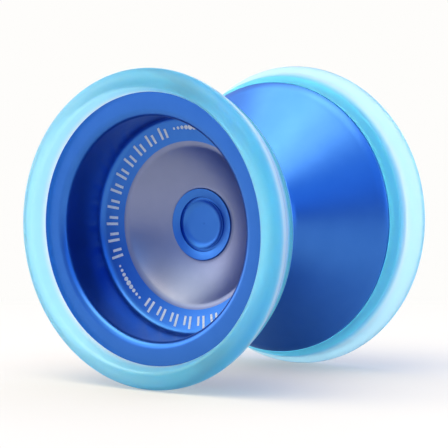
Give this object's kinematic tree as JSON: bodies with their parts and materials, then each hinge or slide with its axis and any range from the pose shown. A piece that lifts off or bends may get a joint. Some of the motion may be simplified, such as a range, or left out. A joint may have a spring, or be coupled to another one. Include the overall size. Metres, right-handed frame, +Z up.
{
  "type": "yo-yo",
  "caption": "Butterfly yo-yo with hollow anodised aluminium halves, translucent plastic rim rings and a central ball bearing between silicone response pads.",
  "frame": {"origin": "midway between the two halves, on the spin axis", "axes": "+Y along the spin axis from half a to half b, +Z up as the yo-yo stands on its two rims"},
  "size_m": [0.056, 0.0496, 0.056],
  "materials": {
    "blue_aluminium": "fine-blasted and blue anodised, satin",
    "cyan_plastic": "frosted translucent polycarbonate",
    "silicone": "matt silicone",
    "axle_steel": "plain stainless, rolled thread",
    "bearing_steel": "ground and polished",
    "ball_steel": "mirror polished",
    "cage_steel": "pressed",
    "shield_steel": "pressed sheet",
    "snap_ring_steel": "spring wire"
  },
  "bodies": {
    "half_a": {"body_a": "blue_aluminium", "rim_ring_a": "cyan_plastic", "response_pad_a": "silicone", "axle": "axle_steel", "bearing_inner_race": "bearing_steel"},
    "bearing_outer": {"bearing_outer_race": "bearing_steel", "bearing_shield_a": "shield_steel", "bearing_shield_b": "shield_steel", "snap_ring_a": "snap_ring_steel", "snap_ring_b": "snap_ring_steel"},
    "ball_train": {"bearing_balls": "ball_steel", "bearing_cage": "cage_steel"},
    "half_b_carrier": {"response_pad_b": "silicone"},
    "half_b": {"body_b": "blue_aluminium", "rim_ring_b": "cyan_plastic"}
  },
  "joints": [
    {"name": "bearing_spin", "type": "hinge", "parent": "half_a", "child": "bearing_outer", "pos_m": [0, 0, 0], "axis": [0, 1, 0], "continuous": true},
    {"name": "cage_spin", "type": "hinge", "parent": "half_a", "child": "ball_train", "pos_m": [0, 0, 0], "axis": [0, 1, 0], "continuous": true},
    {"name": "half_b_travel", "type": "slide", "parent": "half_a", "child": "half_b_carrier", "axis": [0, 1, 0], "range_m": [0, 0.0042]},
    {"name": "half_b_unscrew", "type": "hinge", "parent": "half_b_carrier", "child": "half_b", "pos_m": [0, 0, 0], "axis": [0, -1, 0], "range_deg": [0, 2160]}
  ],
  "couplings": [
    {"joint": "cage_spin", "follows": "bearing_spin", "ratio": 0.5833},
    {"joint": "half_b_travel", "follows": "half_b_unscrew", "m_per_rad": 0.0001114}
  ]
}
